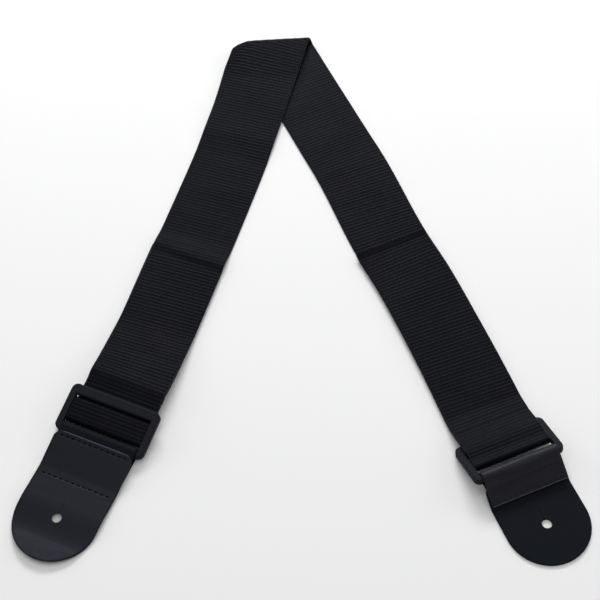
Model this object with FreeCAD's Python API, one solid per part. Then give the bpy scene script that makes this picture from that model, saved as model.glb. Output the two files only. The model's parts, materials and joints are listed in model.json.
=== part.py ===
import FreeCAD, Part

import math
import os

# Guitar strap, lying folded on a table. Millimetres, +Z up, z = 0 is the table.
# One 50 mm web is folded over at the top of a V. The front leg lies on top with its front up,
# the back leg lies under it with its back up. Each leg ends in a three-bar slider, whose outer
# bar carries a leather end. The web goes behind the slider's top bar, over its centre bar and
# back behind it, where it runs on as a free tail.

V = FreeCAD.Vector

# webbing
WEB_WIDTH = 50.0
WEB_THICK = 1.4
BODY_GAP = 0.3            # room between pieces that ride on different bodies
FOLD_RADIUS = 3.4         # mid-line of the loop at the top of the V
RUN_LENGTH = 60.0         # stretch above each slider that takes up the adjustment
BEND_EASE = 12.0          # half the length over which a leg turns at its bend

# three-bar slider, in its own frame: u away from the fold, v across, w out of its front
SLIDER_WIDTH = 58.6
SLIDER_HEIGHT = 30.5
SLIDER_THICK = 4.5
SLIDER_CORNER = 4.0
SLIDER_EDGE = 0.9         # rounding of its outer edges
TOP_BAR_WIDTH = 6.5
TOP_BAR_EDGE = 1.2        # rounding of the top bar, whose faces are flat
LOWER_BAR_WIDTH = 5.0
CENTRE_BAR_WIDTH = 7.0
CENTRE_BAR_THICK = 2.6    # its back is flush with the slider's back
SLOT_LENGTH = 50.5
BAR_FREE = 0.2            # room between a bar and what wraps it
WRAP_START = 22.0         # where the slider's own stretch of web begins, before its centre
WRAP_WIDTH = 49.6         # the web is drawn in a little between the side arms

# leather
TAB_WIDTH = 51.2
TAB_THICK = 1.5
TAB_CORNER = 5.0
LOOP_WIDTH = 49.6
LOOP_THICK = 1.2
LEATHER_GAP = 0.05
TAB_TOP = 4.0             # tab's top edge, past the slider's lower bar
TIP_PAST_HOLE = 0.3       # centre of the round tip, past the hole
HOLE_RADIUS = 3.0
SLIT_LENGTH = 8.0
SLIT_WIDTH = 0.2

# stitching
STITCHES = 12
STITCH_PITCH = 3.8
STITCH_LENGTH = 2.7
STITCH_WIDTH = 0.7
STITCH_THICK = 0.3
STITCH_LIFT = 0.02

# plan of the strap: the fold, where each leg bends, and each slider's centre
FOLD_AT = V(-18.5, 216.5, 0)
FRONT_BEND_AT = V(-51.0, 99.0, 0)
BACK_BEND_AT = V(79.5, 3.5, 0)

# side is -1 for the end at -X and 1 for the end at +X. heading is degrees from -Y towards that
# side, tilt is how far the slider's lower bar stands up, and front_up says which face shows.
# turn is how far past the slider's centre the web turns back. Distances of the leather are counted
# from the slider's lower bar, in plan.
LEFT = {
    "side": -1, "front_up": True, "heading": 22.7, "tilt": -12.0, "centre": V(-115.1, -91.9, 6.551),
    "bend_at": FRONT_BEND_AT, "tail": 111.0, "main_under": 1.7, "tail_under": 0.0,
    "knee": 6.0, "down": 46.0, "seam_gap": 2.4, "turn": 7.75, "tab_fall": 14.0,
    "tuck": 12.3, "row_one": 6.6, "row_two": 30.8, "cut_edge": 32.8, "hole": 54.1,
}
RIGHT = {
    "side": 1, "front_up": False, "heading": 23.2, "tilt": 18.0, "centre": V(123.7, -111.8, 6.95),
    "bend_at": BACK_BEND_AT, "tail": 146.0, "main_under": 0.0, "tail_under": 1.7,
    "knee": 3.0, "down": 9.0, "seam_gap": 1.4, "turn": 5.6, "tab_fall": -10.0, "strip_fall": 33.0,
    "tuck": 14.8, "row_one": 7.3, "row_two": 14.6, "cut_edge": 16.3, "hole": 36.5,
}

TOP_BAR_AT = (TOP_BAR_WIDTH - SLIDER_HEIGHT) / 2
LOWER_BAR_AT = (SLIDER_HEIGHT - LOWER_BAR_WIDTH) / 2
CENTRE_W = (CENTRE_BAR_THICK - SLIDER_THICK) / 2
WRAP_RADIUS = CENTRE_BAR_THICK / 2 + BAR_FREE + WEB_THICK / 2
MAIN_W = -(SLIDER_THICK / 2 + BAR_FREE + WEB_THICK / 2)
TAIL_W = MAIN_W - WEB_THICK - BODY_GAP - 0.05
TOP_BAR_BEND = TOP_BAR_EDGE + BAR_FREE + WEB_THICK / 2
RING = LOWER_BAR_WIDTH / 2 + BAR_FREE + LOOP_THICK / 2
LEATHER_APART = (TAB_THICK + LOOP_THICK) / 2 + LEATHER_GAP


def heading_vector(degrees, side):
    """Unit vector away from the fold, in plan."""
    a = math.radians(degrees)
    return V(side * math.sin(a), -math.cos(a), 0)


def frame(shape, at, forward, up):
    """Moves a shape whose x runs forward and whose z runs up."""
    result = shape.copy()
    placement = FreeCAD.Placement(at, FreeCAD.Rotation(forward, up.cross(forward), up, "ZXY"))
    result.Placement = placement.multiply(shape.Placement)
    return result


def level(at):
    """The point on the table under at."""
    return V(at.x, at.y, 0)


def slider_axes(end):
    """A slider's u and w directions."""
    a = math.radians(end["tilt"])
    flat = heading_vector(end["heading"], end["side"])
    u = flat * math.cos(a) + V(0, 0, math.sin(a))
    w = V(0, 0, math.cos(a)) - flat * math.sin(a)
    return u, w if end["front_up"] else -w


def on_slider(shape, end):
    u, w = slider_axes(end)
    return frame(shape, end["centre"], u, w)


def bar_at(end):
    """Centre of a slider's lower bar, which the leather swings about."""
    u, w = slider_axes(end)
    return end["centre"] + u * LOWER_BAR_AT


def on_leather(shape, end):
    return frame(shape, level(bar_at(end)), heading_vector(end["heading"], end["side"]), V(0, 0, 1))


def wrap_start(end, w_level):
    """Where the web at a level behind the slider meets the slider's own stretch."""
    u, w = slider_axes(end)
    return end["centre"] - u * WRAP_START + w * w_level


def offset_line(points, radii, offset):
    """A line through 2-D points, moved sideways, with tangent arcs that share their centres."""
    steps = [(b - a).normalize() for a, b in zip(points, points[1:])]
    moved = []
    for i, p in enumerate(points):
        a, b = steps[max(i - 1, 0)], steps[min(i, len(steps) - 1)]
        moved.append(p + V(-a.y - b.y, a.x + b.x, 0) * (offset / (1 + a.dot(b))))
    edges, start = [], moved[0]
    for i, radius in enumerate(radii, 1):
        a, b = steps[i - 1], steps[i]
        turn = math.atan2(a.x * b.y - a.y * b.x, a.dot(b))
        r = radius - offset * math.copysign(1, turn)
        cut = r * math.tan(abs(turn) / 2)
        first, last = moved[i] - a * cut, moved[i] + b * cut
        middle = moved[i] + (b - a).normalize() * (r * (1 / math.cos(turn / 2) - 1))
        if (first - start).Length > 1e-6:
            edges.append(Part.LineSegment(start, first).toShape())
            start = first
        edges.append(Part.Arc(start, middle, last).toShape())
        start = last
    edges.append(Part.LineSegment(start, moved[-1]).toShape())
    return edges, moved[0], moved[-1]


def ribbon(points, radii, thickness, width):
    """A band whose mid-line runs through (x, z) points, centred on y = 0."""
    points = [V(x, z, 0) for x, z in points]
    upper, upper_start, upper_end = offset_line(points, radii, thickness / 2)
    lower, lower_start, lower_end = offset_line(points, radii, -thickness / 2)
    ends = [Part.LineSegment(a, b).toShape() for a, b in ((upper_end, lower_end), (upper_start, lower_start))]
    face = Part.Face(Part.Wire(Part.__sortEdges__(upper + ends + lower)))
    band = face.extrude(V(0, 0, width))
    band.translate(V(0, 0, -width / 2))
    band.rotate(V(0, 0, 0), V(1, 0, 0), 90)
    return band


def bar(width, thickness, edge, u, w):
    """A bar of a slider along v, with its long edges rounded."""
    length = SLOT_LENGTH + 1.0
    corner = V(u - width / 2, -length / 2, w - thickness / 2)
    solids = [Part.makeBox(width - 2 * edge, length, thickness, corner + V(edge, 0, 0))]
    if thickness > 2 * edge:
        solids.append(Part.makeBox(width, length, thickness - 2 * edge, corner + V(0, 0, edge)))
    for du in (edge, width - edge):
        for dw in sorted({edge, thickness - edge}):
            solids.append(Part.makeCylinder(edge, length, corner + V(du, 0, dw), V(0, 1, 0)))
    return solids[0].multiFuse(solids[1:]).removeSplitter()


def slider():
    """Three-bar slider: two rounded side arms joined by two outer bars and a thin centre bar."""
    half_height, half_width, half_thick = SLIDER_HEIGHT / 2, SLIDER_WIDTH / 2, SLIDER_THICK / 2
    plate = Part.makeBox(SLIDER_HEIGHT, SLIDER_WIDTH, SLIDER_THICK, V(-half_height, -half_width, -half_thick))
    corners = [e for e in plate.Edges if abs(e.tangentAt(e.FirstParameter).z) > 0.9]
    plate = plate.makeFillet(SLIDER_CORNER, corners)
    rims = [e for e in plate.Edges if abs(e.tangentAt(e.FirstParameter).z) < 0.1]
    plate = plate.makeFillet(SLIDER_EDGE, rims)
    corner = V(-half_height - 1, -SLOT_LENGTH / 2, -half_thick - 1)
    middle = Part.makeBox(SLIDER_HEIGHT + 2, SLOT_LENGTH, SLIDER_THICK + 2, corner)
    bars = [
        bar(TOP_BAR_WIDTH, SLIDER_THICK, TOP_BAR_EDGE, TOP_BAR_AT, 0),
        bar(CENTRE_BAR_WIDTH, CENTRE_BAR_THICK, CENTRE_BAR_THICK / 2, 0, CENTRE_W),
        bar(LOWER_BAR_WIDTH, SLIDER_THICK, SLIDER_THICK / 2, LOWER_BAR_AT, 0),
    ]
    return plate.cut(middle).multiFuse(bars).removeSplitter()


def web_wrap(end):
    """The web's way through a slider: behind the top bar, over the centre bar, round it and back."""
    over, under = CENTRE_W + WRAP_RADIUS, CENTRE_W - WRAP_RADIUS
    points = [
        (-WRAP_START, MAIN_W), (-8.6, MAIN_W), (-6.0, over), (end["turn"], over), (end["turn"], under),
        (0.0, under), (-6.5, TAIL_W), (-WRAP_START, TAIL_W),
    ]
    radii = [TOP_BAR_BEND, 2.0, WRAP_RADIUS, WRAP_RADIUS, 5.0, 5.0]
    return ribbon(points, radii, WEB_THICK, WRAP_WIDTH)


def fold_line():
    """Unit vector along the fold: the front leg mirrored in it is the back leg."""
    front, back = (FRONT_BEND_AT - FOLD_AT).normalize(), (BACK_BEND_AT - FOLD_AT).normalize()
    return (back - front).normalize()


FOLD_WIDTH = WEB_WIDTH / abs((FRONT_BEND_AT - FOLD_AT).normalize().cross(fold_line()).z)
FOLD_CENTRE = FOLD_AT + V(0, 0, WEB_THICK / 2 + FOLD_RADIUS)


def path_at(end, distance):
    """Point and direction of a leg's centre line, in plan, at a distance from the fold."""
    first, second = path_lengths(end)
    if distance < first:
        along = (end["bend_at"] - FOLD_AT).normalize()
        return FOLD_AT + along * distance, along
    along = (level(wrap_start(end, MAIN_W)) - end["bend_at"]).normalize()
    return end["bend_at"] + along * (distance - first), along


def path_lengths(end):
    """Lengths of a leg's two straight stretches, fold to bend and bend to slider."""
    stop = level(wrap_start(end, MAIN_W))
    return (end["bend_at"] - FOLD_AT).Length, (stop - end["bend_at"]).Length


def eased(end, stations):
    """Adds stations on both sides of the bend to a list of (distance, height)."""
    bend = path_lengths(end)[0]
    result = list(stations)
    for (d0, z0), (d1, z1) in zip(stations, stations[1:]):
        for d in (bend - BEND_EASE, bend + BEND_EASE):
            if d0 < d < d1:
                result.append((d, z0 + (z1 - z0) * (d - d0) / (d1 - d0)))
    return sorted(result)


def section(at, across, width, bottom):
    """A rectangle that stands across the web, its lower edge at a height."""
    half = across * (width / 2)
    corners = [at - half, at + half, at + half + V(0, 0, WEB_THICK), at - half + V(0, 0, WEB_THICK)]
    corners = [c + V(0, 0, bottom) for c in corners]
    return Part.makePolygon(corners + corners[:1])


def web(end, stations):
    """Web along a leg. Stations are (distance from the fold, height of the underside)."""
    sections = []
    for distance, bottom in eased(end, sorted(stations)):
        at, along = path_at(end, distance)
        if distance == 0:
            sections.append(section(at, fold_line(), FOLD_WIDTH, bottom))
        else:
            sections.append(section(at, V(-along.y, along.x, 0), WEB_WIDTH, bottom))
    return Part.makeLoft(sections, True, True)


def descent(end, w_level, bottom):
    """Stations from a level behind the slider down to a height over the table."""
    total = sum(path_lengths(end))
    at = wrap_start(end, w_level)
    back = total + (level(at) - path_at(end, total)[0]).dot(path_at(end, total)[1])
    rise = math.tan(math.radians(end["tilt"]))
    under = at.z - WEB_THICK / 2 / math.cos(math.radians(end["tilt"]))
    near = [(d, under - (back - d) * rise) for d in (back - end["seam_gap"], total - end["knee"])]
    return near + [(total - end["knee"] - end["down"], bottom)]


def web_leg(end, heights):
    """A leg from the fold to its run."""
    return web(end, heights + [(sum(path_lengths(end)) - RUN_LENGTH, heights[-1][1])])


def web_run(end):
    """The stretch between a slider's wrap and its leg, which takes up the adjustment."""
    stations = descent(end, MAIN_W, end["main_under"])
    return web(end, stations + [(sum(path_lengths(end)) - RUN_LENGTH, end["main_under"])])


def web_tail(end):
    """The free end of the web, which comes back from the slider behind the leg."""
    stations = descent(end, TAIL_W, end["tail_under"])
    return web(end, stations + [(sum(path_lengths(end)) - end["tail"], end["tail_under"])])


def fold_turn():
    """The half loop of web that joins the two legs at the fold."""
    outer, inner = FOLD_RADIUS + WEB_THICK / 2, FOLD_RADIUS - WEB_THICK / 2
    ring = Part.makeCylinder(outer, FOLD_WIDTH).cut(Part.makeCylinder(inner, FOLD_WIDTH))
    half = ring.common(Part.makeBox(2 * outer, 2 * outer, FOLD_WIDTH, V(0, -outer, 0)))
    start = FOLD_CENTRE - fold_line() * (FOLD_WIDTH / 2)
    return frame(half, start, V(0, 0, 1).cross(fold_line()), fold_line())


def shifted(line, apart):
    """A falling line moved down square to itself."""
    (x, z), degrees = line
    return (x, z - apart / math.cos(math.radians(degrees))), degrees


def at_x(line, x):
    (x0, z0), degrees = line
    return x, z0 - (x - x0) * math.tan(math.radians(degrees))


def crossing(one, other):
    """Where two falling lines meet."""
    slope_one, slope_other = (math.tan(math.radians(d)) for d in (one[1], other[1]))
    x = (at_x(one, 0)[1] - at_x(other, 0)[1]) / (slope_one - slope_other)
    return at_x(one, x)


def tangent(height, degrees, radius, above):
    """A line that falls at an angle and touches a circle round the bar, above or below it."""
    a = math.radians(degrees)
    sign = 1 if above else -1
    return (sign * radius * math.sin(a), height + sign * radius * math.cos(a)), degrees


def leather_front_up(end):
    """Mid-lines of tab and loop. The loop's strip lies flat and its tuck falls to it with the tab."""
    height = bar_at(end).z
    level_tab, over_strip = TAB_THICK / 2, TAB_THICK / 2 + LOOP_THICK + LEATHER_GAP
    tab_line = tangent(height, end["tab_fall"], RING + LEATHER_APART, True)
    tuck_line = tangent(height, end["tab_fall"], RING, True)
    strip_z = height - RING
    tab = [
        at_x(tab_line, TAB_TOP), crossing(tab_line, ((0, over_strip), 0)),
        (end["cut_edge"] + 1.0, over_strip), (end["cut_edge"] + 9.0, level_tab), (tab_end(end), level_tab),
    ]
    loop = [
        at_x(tuck_line, end["tuck"]), at_x(tuck_line, -RING),
        (-RING, strip_z), (end["cut_edge"], strip_z),
    ]
    return tab, [15.0, 15.0, 15.0], loop, [RING, RING]


def leather_back_up(end):
    """Mid-lines of tab and loop. The loop's strip falls from the bar with tuck and tab under it."""
    height = bar_at(end).z
    strip_line = tangent(height, end["strip_fall"], RING, True)
    under_strip = shifted(strip_line, LOOP_THICK + LEATHER_GAP)
    tuck_line = tangent(height, end["tab_fall"], RING, False)
    tab_line, tab_fall = shifted(under_strip, LEATHER_APART), shifted(tuck_line, LEATHER_APART)
    tab = [
        at_x(tab_fall, TAB_TOP), crossing(tab_fall, tab_line),
        crossing(tab_line, ((0, TAB_THICK / 2), 0)), (tab_end(end), TAB_THICK / 2),
    ]
    loop = [
        at_x(under_strip, end["tuck"]), crossing(under_strip, tuck_line), at_x(tuck_line, -RING),
        at_x(strip_line, -RING), at_x(strip_line, end["cut_edge"]),
    ]
    return tab, [2.5, 6.0], loop, [3.9, RING, RING]


def leather(end):
    return leather_front_up(end) if end["front_up"] else leather_back_up(end)


def tab_end(end):
    return end["hole"] + TIP_PAST_HOLE + TAB_WIDTH / 2


def tab_outline(end):
    """A tab's plan as a tall prism: straight sides, round tip, rounded top corners, hole and slit."""
    half, c = TAB_WIDTH / 2, TAB_CORNER
    d = c * (1 - math.sqrt(0.5))
    top, centre = TAB_TOP, end["hole"] + TIP_PAST_HOLE
    edges = [
        Part.Arc(V(top, c - half, 0), V(top + d, d - half, 0), V(top + c, -half, 0)),
        Part.LineSegment(V(top + c, -half, 0), V(centre, -half, 0)),
        Part.Arc(V(centre, -half, 0), V(centre + half, 0, 0), V(centre, half, 0)),
        Part.LineSegment(V(centre, half, 0), V(top + c, half, 0)),
        Part.Arc(V(top + c, half, 0), V(top + d, half - d, 0), V(top, half - c, 0)),
        Part.LineSegment(V(top, half - c, 0), V(top, c - half, 0)),
    ]
    prism = Part.Face(Part.Wire([e.toShape() for e in edges])).extrude(V(0, 0, 40))
    hole = Part.makeCylinder(HOLE_RADIUS, 40, V(end["hole"], 0, 0))
    slit_start = end["hole"] - HOLE_RADIUS - SLIT_LENGTH + 0.2
    slit = Part.makeBox(SLIT_LENGTH, SLIT_WIDTH, 40, V(slit_start, -SLIT_WIDTH / 2, 0))
    prism = prism.cut(hole.fuse(slit))
    prism.translate(V(0, 0, -5))
    return prism


def leather_tab(end):
    tab, radii, loop, loop_radii = leather(end)
    band = ribbon(tab, radii, TAB_THICK, TAB_WIDTH + 2)
    return on_leather(band.common(tab_outline(end)), end)


def leather_loop(end):
    tab, radii, loop, loop_radii = leather(end)
    return on_leather(ribbon(loop, loop_radii, LOOP_THICK, LOOP_WIDTH), end)


def height_at(points, x):
    """Height of a mid-line at x, and its slope there."""
    for (x0, z0), (x1, z1) in zip(points, points[1:]):
        if x0 <= x <= x1:
            return z0 + (z1 - z0) * (x - x0) / (x1 - x0), math.atan2(z1 - z0, x1 - x0)
    raise ValueError(x)


def stitch_row(end, distance):
    """A row of stitches across the face that shows: the tab's front, or the loop's back strip."""
    tab, radii, loop, loop_radii = leather(end)
    line, thick = (tab, TAB_THICK) if end["front_up"] else (loop[-2:], LOOP_THICK)
    z, slope = height_at(line, distance)
    stitches = []
    for i in range(STITCHES):
        y = (i - (STITCHES - 1) / 2) * STITCH_PITCH - STITCH_LENGTH / 2
        start = V(-STITCH_WIDTH / 2, y, thick / 2 + STITCH_LIFT)
        stitches.append(Part.makeBox(STITCH_WIDTH, STITCH_LENGTH, STITCH_THICK, start))
    row = Part.makeCompound(stitches)
    row.rotate(V(0, 0, 0), V(0, 1, 0), -math.degrees(slope))
    row.translate(V(distance, 0, z))
    return on_leather(row, end)


TAIL_END = 190.0          # where the left tail ends under the front leg, from the fold
FRONT_HEIGHTS = [
    (0, 2 * FOLD_RADIUS), (25, 3.4), (60, 2.0), (86, 1.7), (106, 0),
    (TAIL_END - 14, 0), (TAIL_END - 4, 1.7),
]
BACK_HEIGHTS = [(0, 0), (30, 0)]

nodes = {
    "web_back_leg": web_leg(RIGHT, BACK_HEIGHTS),
    "web_fold_turn": fold_turn(),
    "web_front_leg": web_leg(LEFT, FRONT_HEIGHTS),
}
for side, end in (("left", LEFT), ("right", RIGHT)):
    nodes[side + "_web_run"] = web_run(end)
    nodes[side + "_web_wrap"] = on_slider(web_wrap(end), end)
    nodes[side + "_web_tail"] = web_tail(end)
    nodes[side + "_slider"] = on_slider(slider(), end)
    nodes[side + "_leather_tab"] = leather_tab(end)
    nodes[side + "_leather_loop"] = leather_loop(end)
    nodes[side + "_upper_stitching"] = stitch_row(end, end["row_one"])
    nodes[side + "_lower_stitching"] = stitch_row(end, end["row_two"])

# the origin is the middle of the strap's footprint, on the table
whole = Part.makeCompound(list(nodes.values())).optimalBoundingBox(False, False)
MIDDLE = V((whole.XMin + whole.XMax) / 2, (whole.YMin + whole.YMax) / 2, 0)

os.makedirs("parts", exist_ok=True)
for name, shape in nodes.items():
    shape.translate(-MIDDLE)
    shape.exportStep("parts/" + name + ".step")
    solids = len(shape.Solids)
    box = shape.BoundBox
    state = "valid" if shape.isValid() else "INVALID"
    span = (round(box.ZMin, 2), round(box.ZMax, 2))
    print(name, state, solids, "solids", round(shape.Volume), "mm3", "z", span)
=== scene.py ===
import json
import math

import bmesh
import bpy
import numpy as np
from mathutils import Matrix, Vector


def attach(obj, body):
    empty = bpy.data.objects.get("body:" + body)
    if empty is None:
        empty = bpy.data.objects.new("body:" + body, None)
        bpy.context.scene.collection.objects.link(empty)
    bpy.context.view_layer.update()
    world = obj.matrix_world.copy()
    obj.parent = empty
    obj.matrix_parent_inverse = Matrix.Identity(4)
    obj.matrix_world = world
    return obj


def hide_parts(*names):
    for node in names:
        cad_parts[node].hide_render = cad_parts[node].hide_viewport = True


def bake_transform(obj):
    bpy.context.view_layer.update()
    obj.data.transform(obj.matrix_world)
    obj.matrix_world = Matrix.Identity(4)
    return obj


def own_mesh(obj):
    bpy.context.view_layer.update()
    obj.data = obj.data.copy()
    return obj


# Looks for the guitar strap. Lengths are in millimetres until a mesh is made; x right, y away, z up.
# Points count from the drawing's origin. The frame's origin is elsewhere: ORIGIN, found from the fold.

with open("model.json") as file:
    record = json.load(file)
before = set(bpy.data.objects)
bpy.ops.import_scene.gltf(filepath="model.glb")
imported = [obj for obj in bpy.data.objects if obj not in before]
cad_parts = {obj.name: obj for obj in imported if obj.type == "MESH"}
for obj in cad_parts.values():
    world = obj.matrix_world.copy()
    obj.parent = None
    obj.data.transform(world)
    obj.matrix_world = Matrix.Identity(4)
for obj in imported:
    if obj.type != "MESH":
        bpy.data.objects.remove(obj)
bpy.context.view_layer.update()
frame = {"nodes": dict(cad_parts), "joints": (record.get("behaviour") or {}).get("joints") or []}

UP = np.array([0.0, 0.0, 1.0])
FOLD_POINT = np.array([-18.5, 216.5])
hinge = next(joint for joint in frame["joints"] if joint["name"] == "web_fold")
ORIGIN = np.array([*(FOLD_POINT - np.array(hinge["pos_m"][:2]) * 1000), 0.0])

WEB_WIDTH, WEB_THICK = 50.0, 1.4
STEP = 0.5                   # spacing of the web's rows
ACROSS = 47                  # columns over the web's width
RIB_PITCH, RIB_HEIGHT, BACK_RIB_HEIGHT = 2.45, 0.4, 0.3
RIB_POWER, LOW_RIB = 0.6, 0.12       # how full a rib is, and the share by which every other one is lower
WARP_PITCH = 0.7
EDGE_ROUND, EDGE_LEAST = 0.9, 0.25   # the selvedge is rounded, down to this share of the thickness
SELVEDGE_HIGHLIGHT_WIDTH = 0.35             # width of the pale strip along the selvedge: a painted highlight where the rounded edge would catch the light
UNDERSIDE, LEATHER_UNDERSIDE = 60.0, 80.0     # how far the UVs of the other face are moved

FOLD_RADII = (2.6, 3.2)      # mid-line of the loop at the fold, left and right end
FOLD_REACH = 75.0            # how far down the front leg the fold lifts it
FOLD_FLAT = 5.0              # height of the loop that the front leg's own heights allow for
FOLD_ROWS = 25
LEAD = 8                     # rows of each leg that belong to the fold's piece
CORNER_ROUND = (13.0, 5.5)   # the fold's left end rounds off: over what width, and by how much
BOW_AT, FOLD_BOW = (0, 15, 32, 55), (2.2, 2.6, 1.9, 0.8)     # how far it bows out, from its left end
BOW_REACH = 30.0
FOLD_SPREAD, SPREAD_WIDTH, SPREAD_REACH = 2.2, 40.0, 70.0    # how far its left end spreads sideways
SHIFT_REACH, SHEAR_REACH = 120.0, 60.0     # how far down a leg the fold's winding and slant reach

TAIL_END = 190.0             # where the left tail ends, from the fold
# the rise that it makes in the front leg: where it starts before the tail's end, over what length it
# climbs, over what length it falls behind the end, how high it is, and its slant
CREASE_START, CREASE_CLIMB, CREASE_FALL, CREASE_HEIGHT, CREASE_SLANT = 14.0, 13.0, 6.0, 1.0, 0.11
TAIL_CURL = (3.5, 0.7)       # the right tail's cut end stands up: over what length, and by how much
JOIN = 20.0                  # length over which a tail comes into line with its slider
TURN_REACH = 26.0            # length over which a leg turns to its slider's heading

SLIDER_HEIGHT, SLIDER_THICK, LOWER_BAR_WIDTH = 30.5, 4.5, 5.0
CENTRE_BAR_THICK, TOP_BAR_EDGE, BAR_FREE, BODY_GAP = 2.6, 1.2, 0.2, 0.3
WRAP_START, WRAP_WIDTH = 22.0, 49.6
DRAW_IN = 8.0                # length over which the web narrows to the wrap
BAR_AT = (SLIDER_HEIGHT - LOWER_BAR_WIDTH) / 2     # a slider's lower bar, past its centre
CENTRE_W = (CENTRE_BAR_THICK - SLIDER_THICK) / 2
WRAP_RADIUS = CENTRE_BAR_THICK / 2 + BAR_FREE + WEB_THICK / 2
OVER_W, UNDER_W = CENTRE_W + WRAP_RADIUS, CENTRE_W - WRAP_RADIUS
MAIN_W = -(SLIDER_THICK / 2 + BAR_FREE + WEB_THICK / 2)
TAIL_W = MAIN_W - WEB_THICK - BODY_GAP - 0.05
TOP_BAR_BEND = TOP_BAR_EDGE + BAR_FREE + WEB_THICK / 2

TAB_WIDTH, TAB_THICK, LOOP_WIDTH, LOOP_THICK, LEATHER_GAP = 51.2, 1.5, 49.6, 1.2, 0.05
TAB_TOP, TAB_CORNER, TIP_PAST_HOLE = 4.0, 5.0, 0.3
HOLE_RADIUS, SLIT_LENGTH, SLIT_WIDTH = 3.0, 8.0, 0.2
CUTTER_HEIGHTS = (-5.0, 8.0)     # what cuts the hole reaches past both faces of the tab
RING = LOWER_BAR_WIDTH / 2 + BAR_FREE + LOOP_THICK / 2
LEATHER_APART = (TAB_THICK + LOOP_THICK) / 2 + LEATHER_GAP
LEATHER_EDGE_ROUND = 0.6     # how far from its edge the leather starts to thin, to half its thickness
STITCHES, STITCH_PITCH, STITCH_LENGTH, STITCH_RADIUS = 12, 3.8, 2.7, 0.36
BEAD_ROWS, BEAD_RING = 9, 10
STITCH_SUNK = {1: 0.16, -1: 0.24}    # how deep the thread's middle lies, by the end's face
# the groove that a row of stitches lies in
DENT_DEPTH, DENT_HALF_LENGTH, DENT_WIDTH, DENT_FADE = 0.17, 22.4, 0.9, 0.6

# side is -1 for the end at -X. face is 1 where the tab lies on top and -1 where its back shows. line is the
# leg's plan from the fold to its slider. mid and tail_mid are the heights of the web's and its tail's middle
# at distances from the fold, or, where they are negative, back from the slider. Distances of the leather
# count from the slider's lower bar.
LEFT = {
    "name": "left", "leg": "front_leg", "side": -1, "face": 1, "heading": 22.7, "tilt": -12.0,
    "centre": (-115.1, -91.9, 6.551), "tail": 111.0, "keep": 0.19, "ribs": RIB_HEIGHT, "turn": 7.75,
    "line": [FOLD_POINT, (-43.3, 127.8), (-60.5, 70.5), (-84.3, -5.2), (-99.4, -52.0)],
    "mid": [
        (0, 5.7), (12, 4.6), (30, 2.9), (86, 2.4), (104, 0.75), (176, 0.7), (190, 2.3),
        (-52, 2.6), (-6, 9.35), (-2.4, 8.55),
    ],
    "tail_mid": [(0, 0.7), (-52, 0.7), (-6, 7.55), (-2.8, 6.84)], "tail_slip": -1.3, "gather": 0.04,
    "tab_fall": 14.0, "tuck": 12.3, "cut_edge": 32.8, "rows": (6.6, 30.8), "hole": 54.1,
    "wave": [(33.0, 2.0), (49.0, 2.9), (62.0, 0.85), (66.0, 0.9), (82.0, 3.5)],
    "tab_radii": [15, 15, 30, 40, 40], "loop_radii": [RING, RING],
}
RIGHT = {
    "name": "right", "leg": "back_leg", "side": 1, "face": -1, "heading": 23.2, "tilt": 18.0,
    "centre": (123.7, -111.8, 6.95), "tail": 146.0, "keep": 0.18, "ribs": BACK_RIB_HEIGHT, "turn": 5.6,
    "line": [FOLD_POINT, (20.0, 137.3), (36.8, 101.5), (57.2, 50.0), (75.6, 11.0), (96.4, -41.0)],
    "mid": [(0, 0.7), (-12, 0.7), (-3, 2.17), (-1.4, 2.66)],
    "tail_mid": [(0, 2.4), (-12, 2.4), (-3, 4.01), (-1.9, 4.32)], "tail_slip": -1.2, "gather": 0.0,
    "tab_fall": -10.0, "strip_fall": 33.0, "tuck": 14.8, "cut_edge": 16.3, "rows": (7.3, 14.6), "hole": 36.5,
    "tab_radii": [2.5, 6.0], "loop_radii": [3.9, RING, RING],
}


# ---------------------------------------------------------------- materials

def material(name, colour, rough, specular=0.5, sheen=0.0, bump=(), woven=None, wrinkle=None):
    """A principled material. bump is a list of (noise scale per metre, strength, distance); woven and
    wrinkle are a (strength, distance) for the weave and for creases that run across."""
    m = bpy.data.materials.new(name)
    m.use_nodes = True
    nodes, links = m.node_tree.nodes, m.node_tree.links
    shader = nodes["Principled BSDF"]
    shader.inputs["Base Color"].default_value = (*colour, 1)
    shader.inputs["Roughness"].default_value = rough
    shader.inputs["Specular IOR Level"].default_value = specular
    shader.inputs["Sheen Weight"].default_value = sheen
    shader.inputs["Sheen Roughness"].default_value = 0.4
    shader.inputs["Specular Tint"].default_value = (0.74, 0.79, 1.0, 1.0)
    coordinates = nodes.new("ShaderNodeTexCoord")
    last = None
    for scale, strength, distance in bump:
        noise = nodes.new("ShaderNodeTexNoise")
        noise.inputs["Scale"].default_value = scale
        noise.inputs["Detail"].default_value = 3
        links.new(coordinates.outputs["Object"], noise.inputs["Vector"])
        last = add_bump(m, noise.outputs["Fac"], strength, distance, last)
    if woven:
        last = add_bump(m, weave(m, coordinates.outputs["UV"]), *woven, last)
    if wrinkle:
        stretch = nodes.new("ShaderNodeMapping")
        stretch.inputs["Scale"].default_value = (0.12, 0.03, 1.0)
        noise = nodes.new("ShaderNodeTexNoise")
        noise.inputs["Scale"].default_value = 1.0
        links.new(coordinates.outputs["UV"], stretch.inputs["Vector"])
        links.new(stretch.outputs["Vector"], noise.inputs["Vector"])
        last = add_bump(m, noise.outputs["Fac"], *wrinkle, last)
    if last:
        links.new(last, shader.inputs["Normal"])
    return m


def add_bump(m, height, strength, distance, before):
    bump = m.node_tree.nodes.new("ShaderNodeBump")
    bump.inputs["Strength"].default_value = strength
    bump.inputs["Distance"].default_value = distance
    m.node_tree.links.new(height, bump.inputs["Height"])
    if before:
        m.node_tree.links.new(before, bump.inputs["Normal"])
    return bump.outputs["Normal"]


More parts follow.
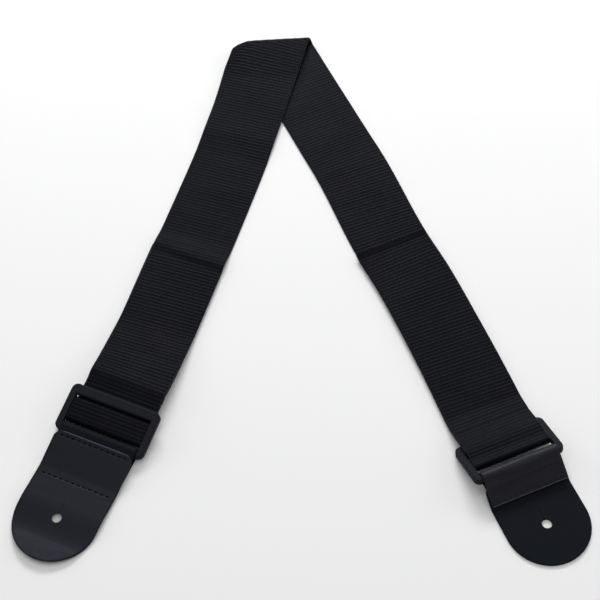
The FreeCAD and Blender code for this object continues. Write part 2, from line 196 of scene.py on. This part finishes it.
def math_node(m, operation, a, b=None):
    node = m.node_tree.nodes.new("ShaderNodeMath")
    node.operation = operation
    for socket, value in zip(node.inputs, (a, b)):
        if value is None:
            continue
        if isinstance(value, (int, float)):
            socket.default_value = value
        else:
            m.node_tree.links.new(value, socket)
    return node.outputs[0]


def weave(m, uv):
    """Height of the plain weave: warp threads side by side, over and under the ribs. UV is in millimetres."""
    split = m.node_tree.nodes.new("ShaderNodeSeparateXYZ")
    m.node_tree.links.new(uv, split.inputs[0])
    along = math_node(m, "MULTIPLY", split.outputs["X"], math.pi / RIB_PITCH)
    across = math_node(m, "MULTIPLY", split.outputs["Y"], math.pi / WARP_PITCH)
    return math_node(m, "MULTIPLY", math_node(m, "SINE", along), math_node(m, "SINE", across))


def web_material():
    m = material("webbing", (0.007, 0.0072, 0.009), 0.4, 0.05, 0.05, [(900, 0.2, 0.0002)], (0.5, 0.0002))
    nodes, links = m.node_tree.nodes, m.node_tree.links
    shader = nodes["Principled BSDF"]
    noise = nodes.new("ShaderNodeTexNoise")
    noise.inputs["Scale"].default_value = 24
    coordinates = nodes.new("ShaderNodeTexCoord")
    links.new(coordinates.outputs["Object"], noise.inputs["Vector"])
    ramp = nodes.new("ShaderNodeValToRGB")
    ramp.color_ramp.elements[0].position = 0.35
    ramp.color_ramp.elements[0].color = (0.0030, 0.0031, 0.0043, 1)
    ramp.color_ramp.elements[1].position = 0.7
    ramp.color_ramp.elements[1].color = (0.0050, 0.0051, 0.0070, 1)
    links.new(noise.outputs["Fac"], ramp.inputs["Fac"])
    split = nodes.new("ShaderNodeSeparateXYZ")
    links.new(coordinates.outputs["UV"], split.inputs[0])
    # Painted highlight: the outer strip of each selvedge, on both faces, gets a lighter colour, as if its
    # rounded edge caught the light.
    past_middle = math_node(m, "PINGPONG", math_node(m, "ABSOLUTE", split.outputs["Y"]), UNDERSIDE / 2)
    in_selvedge_highlight = math_node(m, "GREATER_THAN", past_middle, WEB_WIDTH / 2 - SELVEDGE_HIGHLIGHT_WIDTH)
    mix = nodes.new("ShaderNodeMix")
    mix.data_type = "RGBA"
    links.new(in_selvedge_highlight, mix.inputs[0])
    links.new(ramp.outputs["Color"], mix.inputs[6])
    mix.inputs[7].default_value = (0.020, 0.020, 0.025, 1)
    links.new(mix.outputs[2], shader.inputs["Base Color"])
    return m


WEB = web_material()
PLASTIC = material("slider_plastic", (0.014, 0.0145, 0.017), 0.6, 0.06, 0, [(700, 0.05, 0.0001)])
GRAIN = (1500, 0.3, 0.00012)
LEATHER = material("leather", (0.0036, 0.0040, 0.0055), 0.36, 0.21, 0.0, [GRAIN, (260, 0.12, 0.0005)],
                   wrinkle=(0.05, 0.003))
LEATHER_LOOP = material("leather_loop", (0.0055, 0.006, 0.0078), 0.6, 0.06, 0.0, [GRAIN])
LEATHER_PATCH = material("leather_patch", (0.018, 0.018, 0.0215), 0.42, 0.12, 0.0, [GRAIN],
                         wrinkle=(0.5, 0.003))
LEATHER_BACK = material("leather_back", (0.0072, 0.0086, 0.0112), 0.7, 0.06, 0.0, [(1900, 0.6, 0.0002)])
# Pale colour for the strip's cut edges: a painted highlight standing in for the light that the edges catch.
LEATHER_EDGE_HIGHLIGHT = material("leather_edge_highlight", (0.2, 0.19, 0.2), 0.7, 0.1)
THREAD = material("thread", (0.0016, 0.0016, 0.0022), 0.8, 0.02, 0.0, [(2500, 0.5, 0.0002)])
THREAD_BACK = material("thread_back", (0.0115, 0.0115, 0.0135), 0.7, 0.05, 0.0, [(2500, 0.5, 0.0002)])


# ---------------------------------------------------------------- curves

def unit(v):
    return v / np.linalg.norm(v)


def smooth(x):
    x = np.clip(x, 0, 1)
    return x * x * (3 - 2 * x)


def spline(points, step):
    """A smooth line through points, resampled to even steps."""
    p = np.array(points, float)
    p = np.vstack([2 * p[0] - p[1], p, 2 * p[-1] - p[-2]])
    line = []
    for a, b, c, d in zip(p, p[1:], p[2:], p[3:]):
        t = np.linspace(0, 1, 200, endpoint=False)[:, None]
        bend, twist = 2 * a - 5 * b + 4 * c - d, 3 * b - a - 3 * c + d
        line.append(0.5 * (2 * b + (c - a) * t + bend * t ** 2 + twist * t ** 3))
    return even(np.vstack(line + [p[-2][None]]), step)


def distances(line):
    """How far along a line each of its points is."""
    return np.concatenate([[0], np.cumsum(np.linalg.norm(np.diff(line, axis=0), axis=1))])


def even(line, step):
    s = distances(line)
    at = np.linspace(0, s[-1], max(int(round(s[-1] / step)), 1) + 1)
    return np.column_stack([np.interp(at, s, line[:, i]) for i in range(line.shape[1])])


def rounded(points, radii, step=0.3):
    """A line through 2-D points with tangent arcs at its corners."""
    p = [np.array(q, float) for q in points]
    line = [p[0]]
    for i, r in enumerate(radii, 1):
        a, b = unit(p[i] - p[i - 1]), unit(p[i + 1] - p[i])
        turn = math.atan2(a[0] * b[1] - a[1] * b[0], a @ b)
        cut = r * math.tan(abs(turn) / 2)
        middle = p[i] + unit(b - a) * (r / math.cos(turn / 2))
        start = p[i] - a * cut - middle
        for k in range(25):
            c, s = math.cos(turn * k / 24), math.sin(turn * k / 24)
            line.append(middle + np.array([c * start[0] - s * start[1], s * start[0] + c * start[1]]))
    line.append(p[-1])
    return even(np.array(line), step)


def soften(values, rows):
    """A moving average that keeps the ends."""
    before = 2 * values[0] - values[rows:0:-1]
    after = 2 * values[-1] - values[-2:-rows - 2:-1]
    padded = np.concatenate([before, values, after])
    return np.convolve(padded, np.ones(2 * rows + 1) / (2 * rows + 1), "valid")


def tangents(line):
    return np.array([unit(v) for v in np.gradient(line, axis=0)])


# ---------------------------------------------------------------- slider and leather frames

def slider_axes(end):
    """A slider's directions: along it, out of its front, and along it in plan."""
    a, h = math.radians(end["tilt"]), math.radians(end["heading"])
    flat = np.array([end["side"] * math.sin(h), -math.cos(h), 0])
    u = flat * math.cos(a) + UP * math.sin(a)
    w = (UP * math.cos(a) - flat * math.sin(a)) * end["face"]
    return u, w, flat


def on_slider(end, uw):
    u, w = slider_axes(end)[:2]
    return np.array(end["centre"]) + np.outer(uw[:, 0], u) + np.outer(uw[:, 1], w)


def wrap_start(end, w_level):
    """Where the web at a level behind the slider meets the slider's own stretch."""
    return on_slider(end, np.array([[-WRAP_START, w_level]]))[0]


def bar_point(end):
    return on_slider(end, np.array([[BAR_AT, 0.0]]))[0]


# A falling line is a point (x, z) and the degrees it falls by.

def shifted(line, apart):
    """A falling line moved down square to itself."""
    (x, z), degrees = line
    return (x, z - apart / math.cos(math.radians(degrees))), degrees


def at_x(line, x):
    (x0, z0), degrees = line
    return x, z0 - (x - x0) * math.tan(math.radians(degrees))


def crossing(one, other):
    """Where two falling lines meet."""
    slope_one, slope_other = (math.tan(math.radians(line[1])) for line in (one, other))
    return at_x(one, (at_x(one, 0)[1] - at_x(other, 0)[1]) / (slope_one - slope_other))


def tangent(height, degrees, radius, sign):
    """A falling line that touches a circle round the bar, above it for sign 1 and below it for -1."""
    a = math.radians(degrees)
    return (sign * radius * math.sin(a), height + sign * radius * math.cos(a)), degrees


def leather_front_up(end):
    """Corners of the tab's and loop's mid-lines where the tab lies on top, and its wave goes on."""
    height = bar_point(end)[2]
    tab_line = tangent(height, end["tab_fall"], RING + LEATHER_APART, 1)
    tuck_line = tangent(height, end["tab_fall"], RING, 1)
    over_strip = ((0, TAB_THICK / 2 + LOOP_THICK + LEATHER_GAP), 0)
    tab_points = [at_x(tab_line, TAB_TOP), crossing(tab_line, over_strip)]
    loop_points = [
        at_x(tuck_line, end["tuck"]), at_x(tuck_line, -RING), (-RING, height - RING),
        (end["cut_edge"], height - RING),
    ]
    return to_hundredths(tab_points) + end["wave"], to_hundredths(loop_points)


def leather_back_up(end):
    """Corners of the tab's and loop's mid-lines where the strip lies on top of tuck and tab."""
    height = bar_point(end)[2]
    strip_line = tangent(height, end["strip_fall"], RING, 1)
    under_strip = shifted(strip_line, LOOP_THICK + LEATHER_GAP)
    tuck_line = tangent(height, end["tab_fall"], RING, -1)
    tab_line, tab_fall = shifted(under_strip, LEATHER_APART), shifted(tuck_line, LEATHER_APART)
    table = ((0, TAB_THICK / 2), 0)
    tab_points = [
        at_x(tab_fall, TAB_TOP), crossing(tab_fall, tab_line), crossing(tab_line, table),
        at_x(table, end["hole"] + TIP_PAST_HOLE + TAB_WIDTH / 2),
    ]
    loop_points = [
        at_x(under_strip, end["tuck"]), crossing(under_strip, tuck_line), at_x(tuck_line, -RING),
        at_x(strip_line, -RING), at_x(strip_line, end["cut_edge"]),
    ]
    return to_hundredths(tab_points), to_hundredths(loop_points)


def to_hundredths(points):
    """Points to a hundredth of a millimetre."""
    return [(round(x, 2), round(z, 2)) for x, z in points]


LEFT["tab"], LEFT["loop"] = leather_front_up(LEFT)
RIGHT["tab"], RIGHT["loop"] = leather_back_up(RIGHT)


# ---------------------------------------------------------------- meshes

def outward(mesh):
    """Turns a closed mesh's faces outwards and keeps its edges crisp."""
    work = bmesh.new()
    work.from_mesh(mesh)
    bmesh.ops.recalc_face_normals(work, faces=work.faces)
    work.to_mesh(mesh)
    work.free()
    mesh.set_sharp_from_angle(angle=math.radians(60))


def make(name, points, faces, mat, uv=None):
    mesh = bpy.data.meshes.new(name)
    mesh.from_pydata(((np.asarray(points) - ORIGIN) * 0.001).tolist(), [], faces)
    mesh.update()
    mesh.polygons.foreach_set("use_smooth", [True] * len(mesh.polygons))
    if uv is not None:
        layer = mesh.uv_layers.new(name="UVMap")
        index = np.empty(len(mesh.loops), int)
        mesh.loops.foreach_get("vertex_index", index)
        layer.data.foreach_set("uv", np.asarray(uv, np.float32)[index].ravel())
    outward(mesh)
    obj = bpy.data.objects.new(name, mesh)
    obj.data.materials.append(mat)
    bpy.context.scene.collection.objects.link(obj)
    return obj


def tube_faces(rows, ring):
    """Quads between closed rings of points, with a face over each end."""
    faces = []
    for i in range(rows - 1):
        a, b = i * ring, (i + 1) * ring
        for j in range(ring):
            k = (j + 1) % ring
            faces.append((a + j, a + k, b + k, b + j))
    faces.append(tuple(range(ring - 1, -1, -1)))
    faces.append(tuple(range((rows - 1) * ring, rows * ring)))
    return faces


def columns():
    """Across positions, closer together at the selvedges."""
    inner = np.linspace(-0.94, 0.94, ACROSS - 6)
    return np.concatenate([[-1, -0.985, -0.965], inner, [0.965, 0.985, 1]])


def selvedge(from_edge):
    """Share of the web's thickness that is left near its rounded edges."""
    x = 1 - np.clip(from_edge / EDGE_ROUND, 0, 1)
    return EDGE_LEAST + (1 - EDGE_LEAST) * np.sqrt(1 - x * x)


def ribs(s, height=RIB_HEIGHT):
    """Height of the weft ribs, at distances along the web. Every other rib is a little lower."""
    wave = np.abs(np.sin(np.pi * s / RIB_PITCH)) ** RIB_POWER
    return height * (wave * (1 - LOW_RIB * (np.floor(s / RIB_PITCH) % 2)) - 1)


def level(vectors):
    """Each vector's level part, at unit length where it has any."""
    flat = vectors * (1, 1, 0)
    return flat / np.maximum(np.linalg.norm(flat, axis=1), 1e-6)[:, None]


def strip_rows(centre, across, s, rib_height, shear=0.0, rise=None, squeeze=1.0, shift=None):
    """Points and UVs of a length of web, a ring of points a row. across is the unit vector over it at each
    row, and s counts along it, for ribs and UVs. A row's points sit shear * t along the web, to follow the
    fold. squeeze is each row's width over the full width. rise and shift are how far each point is moved."""
    t = columns() * WEB_WIDTH / 2
    squeeze = np.broadcast_to(np.asarray(squeeze, float), s.shape)[:, None]
    shear = np.broadcast_to(np.asarray(shear, float), s.shape)[:, None]
    along = tangents(centre)
    normal = np.array([unit(n) for n in np.cross(along, across)])
    real_s = s[:, None] + shear * t
    base = centre[:, None] + across[:, None] * (squeeze * t)[..., None]
    base = base + level(along)[:, None] * (shear * t)[..., None]
    if rise is not None:
        base = base + rise[..., None] * UP
    if shift is not None:
        base = base + shift
    lift = (WEB_THICK / 2 + ribs(real_s, rib_height)) * selvedge(WEB_WIDTH / 2 - np.abs(t))
    top = base + normal[:, None] * lift[..., None]
    bottom = (base - normal[:, None] * lift[..., None])[:, ::-1]
    uv = np.stack([real_s, np.broadcast_to(t, real_s.shape)], axis=-1)
    return np.concatenate([top, bottom], axis=1), both_faces(uv, UNDERSIDE)


def both_faces(uv, apart):
    """UVs of a ring of points a row: the upper face's, then the other face's, moved apart."""
    return np.concatenate([uv, uv[:, ::-1] + (0, apart)], axis=1)


def web_strip(name, points, uv):
    """A closed length of web from its rows."""
    faces = tube_faces(points.shape[0], points.shape[1])
    return make(name, points.reshape(-1, 3), faces, WEB, uv.reshape(-1, 2))


# ---------------------------------------------------------------- web

def leg_line(end):
    """Plan centre line of a leg from the fold to the slider's stretch, and its heading at each row."""
    flat = slider_axes(end)[2]
    stop = wrap_start(end, MAIN_W)
    line = spline(end["line"] + [stop[:2]], STEP)
    left = np.linalg.norm(line - stop[:2], axis=1)
    turn = smooth(1 - left / TURN_REACH)[:, None]
    along = np.array([unit(v) for v in tangents(line) * (1 - turn) + flat[:2] * turn])
    return line, along


def leftward(along):
    """Level unit vectors square to plan headings, to their left."""
    return np.column_stack([-along[:, 1], along[:, 0], np.zeros(len(along))])


lines = {end["name"]: leg_line(end) for end in (LEFT, RIGHT)}
start_left, start_right = (lines[name][1][0] for name in ("left", "right"))
FOLD_T = unit(start_right - start_left)
FOLD_N = np.array([-FOLD_T[1], FOLD_T[0], 0.0])
FOLD_ALONG = np.array([FOLD_T[0], FOLD_T[1], 0.0])
COS = abs(np.cross(start_left, FOLD_T))
TAN = abs(start_left @ FOLD_T) / COS
FOLD_TURN = math.pi * sum(FOLD_RADII) / 2     # length of the half turn, square to the fold
SHIFT = FOLD_TURN * TAN / 2                   # half of what the half turn winds along the fold


def fold_radius(t):
    """Mid-line radius of the fold's loop at a place across the web, -1 to 1."""
    return FOLD_RADII[0] + (FOLD_RADII[1] - FOLD_RADII[0]) * (t + 1) / 2


def heights(knots, s, last):
    """Heights at distances s, from knots whose distances count from the fold, or back from the end."""
    at = [d if d >= 0 else s[-1] + d for d, z in knots] + [s[-1]]
    return np.interp(s, at, [z for d, z in knots] + [last])


def fold_shape(out_fade=1.0, side_fade=1.0):
    """How far each column is moved at the fold: it bows outwards, and its rounded left end spreads."""
    from_left = (columns() + 1) * WEB_WIDTH / 2 / COS
    drawn_in = CORNER_ROUND[1] * np.clip(1 - from_left / CORNER_ROUND[0], 0, 1) ** 2
    bow = np.interp(from_left, BOW_AT, FOLD_BOW)
    spread = FOLD_SPREAD * (1 - smooth(from_left / SPREAD_WIDTH))
    outwards = np.multiply.outer(out_fade * (bow - drawn_in), FOLD_N)
    return outwards - np.multiply.outer(side_fade * spread, FOLD_ALONG)


def crease(s):
    """Height of the front leg's rise onto its tail's end."""
    past = s[:, None] - TAIL_END - CREASE_SLANT * columns() * WEB_WIDTH / 2
    climb = smooth((past + CREASE_START) / CREASE_CLIMB) * (1 - smooth(past / CREASE_FALL))
    return CREASE_HEIGHT * climb


def leg_rows(end):
    """Rows of a leg: centre points, across vectors, distance along and shear, fold to slider."""
    line, along = lines[end["name"]]
    s = distances(line)
    line = line + (FOLD_T * SHIFT * end["side"]) * (1 - smooth(s / SHIFT_REACH))[:, None]
    z = soften(heights(end["mid"], s, wrap_start(end, MAIN_W)[2]), 5)
    shear = (along[0] @ FOLD_T) / COS * (1 - smooth(s / SHEAR_REACH))
    return np.column_stack([line, z]), leftward(along), s, shear


def wrap_rows(end):
    """Rows of the slider's own stretch, from behind its top bar over the centre bar and back."""
    points = [
        (-WRAP_START, MAIN_W), (-8.6, MAIN_W), (-6.0, OVER_W), (end["turn"], OVER_W),
        (end["turn"], UNDER_W), (0.0, UNDER_W), (-6.5, TAIL_W), (-WRAP_START, TAIL_W),
    ]
    radii = [TOP_BAR_BEND, 2.0, WRAP_RADIUS, WRAP_RADIUS, 5.0, 5.0]
    centre = on_slider(end, rounded(points, radii, 0.4))
    return centre, np.broadcast_to(np.cross(UP, slider_axes(end)[2]), centre.shape)


def web_main(end):
    """A leg with its slider's stretch. Gives back the first rows, which belong to the fold's piece."""
    centre, across, s, shear = leg_rows(end)
    lifted = smooth(1 - s / FOLD_REACH)[:, None] * (2 * fold_radius(columns()) - FOLD_FLAT)
    wrap_centre, wrap_across = wrap_rows(end)
    centre = np.vstack([centre[:-1], wrap_centre])
    across = np.vstack([across[:-1], wrap_across])
    shear = np.concatenate([shear[:-1], np.zeros(len(wrap_centre))])
    s = distances(centre)
    rise = np.zeros((len(s), ACROSS))
    if end is LEFT:
        rise[:len(lifted)] = lifted
        rise += crease(s)
    fades = zip(1 - smooth(s / BOW_REACH), 1 - smooth(s / SPREAD_REACH))
    shift = np.array([fold_shape(out_fade, side_fade) for out_fade, side_fade in fades])
    joined = s[len(s) - len(wrap_centre)]
    squeeze = 1 - (1 - WRAP_WIDTH / WEB_WIDTH) * smooth((s - joined + DRAW_IN) / DRAW_IN)
    points, uv = strip_rows(centre, across, s, end["ribs"], shear, rise, squeeze, shift)
    obj = web_strip(end["name"] + "_leg_web", points[LEAD:], uv[LEAD:])
    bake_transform(obj)
    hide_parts("web_" + end["leg"], end["name"] + "_web_run", end["name"] + "_web_wrap")
    return points[1:LEAD + 1], uv[1:LEAD + 1]


def web_tail(end):
    """The free end of the web, which runs back behind the leg."""
    line, along = lines[end["name"]]
    length = distances(line)
    total = length[-1]
    stop = wrap_start(end, TAIL_W)
    keep = length >= total - end["tail"]
    line, along, s = line[keep], along[keep], length[keep]
    join = smooth((s - (total - JOIN)) / JOIN)[:, None]
    slip = end["tail_slip"] * smooth((total - s) / end["tail"])[:, None]
    line = line + (stop[:2] - line[-1]) * join + leftward(along)[:, :2] * slip
    curl = TAIL_CURL[1] * (1 - smooth((s - s[0]) / TAIL_CURL[0])) if end is RIGHT else 0
    z = soften(heights(end["tail_mid"], length, stop[2])[keep], 3) + curl
    centre = np.column_stack([line, z])[::-1]
    if end is LEFT:
        across = np.broadcast_to(np.cross(UP, slider_axes(end)[2]), centre.shape)
    else:
        across = leftward(along)[::-1]
    obj = web_strip(end["name"] + "_tail_web", *strip_rows(centre, across, (total - s)[::-1], end["ribs"]))
    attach(obj, end["name"] + "_slider")
    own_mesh(obj)
    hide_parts(end["name"] + "_web_tail")


def fold(front, back):
    """The half turn at the top of the V, wound a little along the fold as the two legs part, with the
    first rows of the front and back legs, each a pair of points and UVs."""
    half = WEB_WIDTH / 2 / COS
    a = columns() * half
    edge = selvedge(half - np.abs(a))
    radius = fold_radius(columns())
    base = np.array([*FOLD_POINT, WEB_THICK / 2]) + np.outer(radius, UP)
    tops, bottoms, uvs = [], [], []
    for p in np.linspace(0, math.pi, FOLD_ROWS):
        out = FOLD_N * math.sin(p) + UP * math.cos(p)
        wound = p / math.pi * 2 * SHIFT - SHIFT
        real_s = a * COS * TAN + radius * p / COS
        lift = (WEB_THICK / 2 + ribs(real_s)) * edge
        line = base + np.outer(a + wound, FOLD_ALONG) + fold_shape()
        tops.append(line + (radius + lift)[:, None] * out)
        bottoms.append((line + (radius - lift)[:, None] * out)[::-1])
        uvs.append(np.column_stack([real_s, a * COS]))
    points = np.concatenate([np.array(tops), np.array(bottoms)], axis=1)
    uv = both_faces(np.array(uvs), UNDERSIDE)
    points = np.concatenate([front[0][::-1], points, back[0][:, ::-1]])
    uv = np.concatenate([front[1][::-1], uv, back[1][:, ::-1]])
    obj = web_strip("fold_web", points, uv)
    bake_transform(obj)
    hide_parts("web_fold_turn")


# ---------------------------------------------------------------- leather

def thinned(from_edge):
    """Share of the leather's thickness that is left near its cut edges."""
    return 1 - 0.5 * np.clip(1 - from_edge / LEATHER_EDGE_ROUND, 0, 1) ** 2


def sheet_mesh(end, name, line, widths, thick, mat, dents=()):
    """line is (x, z) mid-line points, widths the half width at each, dents the places of stitched rows."""
    along = tangents(line)
    normal = np.column_stack([-along[:, 1], along[:, 0]])
    t = np.concatenate([[-1, -0.99, -0.97], np.linspace(-0.93, 0.93, 29), [0.97, 0.99, 1]])
    y = widths[:, None] * t
    walked = distances(line)
    lift = thick / 2 * thinned(widths[:, None] - np.abs(y))
    lift = lift * thinned(np.minimum(walked, walked[-1] - walked))[:, None]
    sink = np.zeros_like(lift)
    for x in dents:
        inside = smooth((DENT_HALF_LENGTH + DENT_FADE - np.abs(y)) / DENT_FADE)
        sink = sink + DENT_DEPTH * np.exp(-((line[:, 0] - x) / DENT_WIDTH) ** 2)[:, None] * inside
    sides = []
    for off in (lift - sink, -lift):
        x = line[:, 0:1] + normal[:, 0:1] * off
        z = line[:, 1:2] + normal[:, 1:2] * off
        sides.append(place(end, x, y, z))
    points = np.concatenate([sides[0], sides[1][:, ::-1]], axis=1)
    uv = both_faces(np.stack([np.broadcast_to(walked[:, None], y.shape), y], axis=-1), LEATHER_UNDERSIDE)
    return make(name, points.reshape(-1, 3), tube_faces(len(line), points.shape[1]), mat, uv.reshape(-1, 2))


def place(end, x, y, z):
    """Points past an end's lower bar, over it and above the table."""
    flat = slider_axes(end)[2]
    across = np.cross(UP, flat)
    foot = bar_point(end) * (1, 1, 0)
    return foot + x[..., None] * flat + y[..., None] * across + z[..., None] * UP


def tab(end):
    """The leather tab. Its rows crowd together towards the tip, where the outline closes."""
    line = rounded(end["tab"], end["tab_radii"], 0.4)
    last, centre = line[-1, 0], end["hole"] + TIP_PAST_HOLE
    tail = last - (last - centre) * (1 - np.sin(np.linspace(0, math.pi / 2, 40)))
    body = line[line[:, 0] < centre]
    tip = np.column_stack([tail[:-1], np.interp(tail[:-1], line[:, 0], line[:, 1])])
    line = np.vstack([body, tip, [[last - 0.01, line[-1, 1]]]])
    half = TAB_WIDTH / 2
    widths = np.full(len(line), half)
    top = np.clip(TAB_TOP + TAB_CORNER - line[:, 0], 0, TAB_CORNER)
    widths -= TAB_CORNER - np.sqrt(np.maximum(TAB_CORNER ** 2 - top ** 2, 0.04))
    past = np.clip((line[:, 0] - centre) / (last - centre) * half, 0, half - 0.005)
    widths = np.where(line[:, 0] > centre, np.sqrt(half ** 2 - past ** 2), widths)
    mat, dents = (LEATHER, end["rows"]) if end["face"] > 0 else (LEATHER_BACK, ())
    obj = sheet_mesh(end, end["name"] + "_tab", line, widths, TAB_THICK, mat, dents)
    cut_hole(obj, end)
    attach(obj, end["name"] + "_end")
    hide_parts(end["name"] + "_leather_tab")


def cut_hole(obj, end):
    """Takes the button hole and its slit out of a tab."""
    h = SLIT_WIDTH / 2
    angles = np.linspace(0, 2 * math.pi, 48, endpoint=False)
    ring = [(math.cos(a) * HOLE_RADIUS, math.sin(a) * HOLE_RADIUS) for a in angles]
    outline = [(x, y) for x, y in ring if not (x < 0 and abs(y) < h + 0.05)]
    outline.sort(key=lambda p: math.atan2(p[1], p[0]))
    reach = -(HOLE_RADIUS + SLIT_LENGTH - 0.2)
    edge = -math.sqrt(HOLE_RADIUS ** 2 - h ** 2)
    outline = [(edge, -h)] + outline + [(edge, h), (reach, h), (reach, -h)]
    x, y = np.array(outline).T
    sides = [place(end, x + end["hole"], y, np.full(len(x), z)) for z in CUTTER_HEIGHTS]
    cutter = make("cutter", np.vstack(sides), tube_faces(2, len(x)), obj.data.materials[0])
    modifier = obj.modifiers.new("hole", "BOOLEAN")
    modifier.operation = "DIFFERENCE"
    modifier.solver = "EXACT"
    modifier.object = cutter
    apply(obj)
    obj.data.set_sharp_from_angle(angle=math.radians(40))
    bpy.data.objects.remove(cutter)


def apply(obj):
    """Makes an object's modifiers part of its mesh."""
    bpy.context.view_layer.update()
    graph = bpy.context.evaluated_depsgraph_get()
    mesh = bpy.data.meshes.new_from_object(obj.evaluated_get(graph))
    obj.modifiers.clear()
    obj.data = mesh


def loop(end):
    """The leather strip round the slider's lower bar. Where it shows, its cut edge gets a pale colour, a
    painted highlight.
    """
    line = rounded(end["loop"], end["loop_radii"], 0.35)
    widths = np.full(len(line), LOOP_WIDTH / 2)
    mat = LEATHER_LOOP if end["face"] > 0 else LEATHER_PATCH
    obj = sheet_mesh(end, end["name"] + "_loop", line, widths, LOOP_THICK, mat)
    # Painted highlight: both end faces of the strip and the last band of faces at its cut edge take the pale
    # colour, as if the edge caught the light.
    if end["face"] < 0:
        obj.data.materials.append(LEATHER_EDGE_HIGHLIGHT)
        side_faces = (len(obj.data.polygons) - 2) // (len(line) - 1)
        for face in list(obj.data.polygons)[-2 - side_faces:]:
            face.material_index = 1
    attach(obj, end["name"] + "_end")
    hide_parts(end["name"] + "_leather_loop")


def bead(middle, along, normal, y0, depth):
    """Points of one stitch: a short rounded bead of thread that dips at its ends."""
    points = []
    for q in np.linspace(-1, 1, BEAD_ROWS):
        r = STITCH_RADIUS * math.sqrt(max(1 - q ** 6, 0.0)) + 0.02
        for a in np.linspace(0, 2 * math.pi, BEAD_RING, endpoint=False):
            lift = depth + r * math.sin(a) * 0.8 - 0.12 * q ** 4
            x, z = middle + normal * lift + along * (r * math.cos(a))
            points.append((x, y0 + q * STITCH_LENGTH / 2, z))
    return points


def stitches(end):
    """Two rows of thread, on the tab or on the strip that shows."""
    if end["face"] > 0:
        path, thick, mat = rounded(end["tab"], end["tab_radii"], 0.3), TAB_THICK, THREAD
    else:
        path, thick, mat = rounded(end["loop"][-2:], [], 0.3), LOOP_THICK, THREAD_BACK
    for name, x in zip(("upper", "lower"), end["rows"]):
        i = int(np.argmin(np.abs(path[:, 0] - x)))
        along = tangents(path)[i]
        normal = np.array([-along[1], along[0]])
        points, faces = [], []
        for k in range(STITCHES):
            faces += [tuple(len(points) + v for v in face) for face in tube_faces(BEAD_ROWS, BEAD_RING)]
            y0 = (k - (STITCHES - 1) / 2) * STITCH_PITCH
            points += bead(path[i], along, normal, y0, thick / 2 - STITCH_SUNK[end["face"]])
        x, y, z = np.array(points).T
        obj = make(f"{end['name']}_{name}_stitches", place(end, x, y, z), faces, mat)
        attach(obj, end["name"] + "_end")
        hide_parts(f"{end['name']}_{name}_stitching")


# ---------------------------------------------------------------- build

fold(*[web_main(end) for end in (LEFT, RIGHT)])
for end in (LEFT, RIGHT):
    web_tail(end)
    tab(end)
    loop(end)
    stitches(end)
    node = frame["nodes"][end["name"] + "_slider"]
    node.data.materials.clear()
    node.data.materials.append(PLASTIC)


# ---------------------------------------------------------------- stage, light and camera

def stage():
    mesh = bpy.data.meshes.new("floor")
    mesh.from_pydata([(-3, -3, 0), (3, -3, 0), (3, 3, 0), (-3, 3, 0)], [], [(0, 1, 2, 3)])
    floor = bpy.data.objects.new("floor", mesh)
    bpy.context.scene.collection.objects.link(floor)
    floor.data.materials.append(material("floor", (0.92, 0.92, 0.92), 0.9, 0.1))


def area_light(name, at, aim, size, power):
    light = bpy.data.lights.new(name, "AREA")
    light.shape = "RECTANGLE"
    light.size, light.size_y = size
    light.energy = power
    obj = bpy.data.objects.new(name, light)
    obj.location = at
    obj.rotation_euler = (Vector(aim) - Vector(at)).to_track_quat("-Z", "Y").to_euler()
    bpy.context.scene.collection.objects.link(obj)


stage()
area_light("back", (0.0, 1.45, 1.0), (0, 0, 0), (1.0, 0.4), 20)
area_light("overhead", (0.0, 0.1, 1.5), (0, 0, 0), (1.6, 1.6), 8)
area_light("left_rim", (-1.3, 0.6, 0.55), (0, 0, 0), (0.8, 0.6), 3)
area_light("right_rim", (1.3, 0.3, 0.55), (0, 0, 0), (0.8, 0.6), 3)

world = bpy.data.worlds.new("studio")
world.use_nodes = True
world.node_tree.nodes["Background"].inputs["Color"].default_value = (1, 1, 1, 1)
world.node_tree.nodes["Background"].inputs["Strength"].default_value = 0.3
bpy.context.scene.world = world
bpy.context.scene.view_settings.view_transform = "Standard"

ELEVATION, DISTANCE, LENS = math.radians(56.18), 945.0, 88.92
camera = bpy.data.cameras.new("camera")
camera.lens, camera.sensor_width = LENS, 36.0
camera_object = bpy.data.objects.new("camera", camera)
at = np.array([0.0, -DISTANCE * math.cos(ELEVATION), DISTANCE * math.sin(ELEVATION)])
camera_object.location = tuple((at - ORIGIN) * 0.001)
camera_object.rotation_euler = (math.pi / 2 - ELEVATION, 0, 0)
bpy.context.scene.collection.objects.link(camera_object)
bpy.context.scene.camera = camera_object
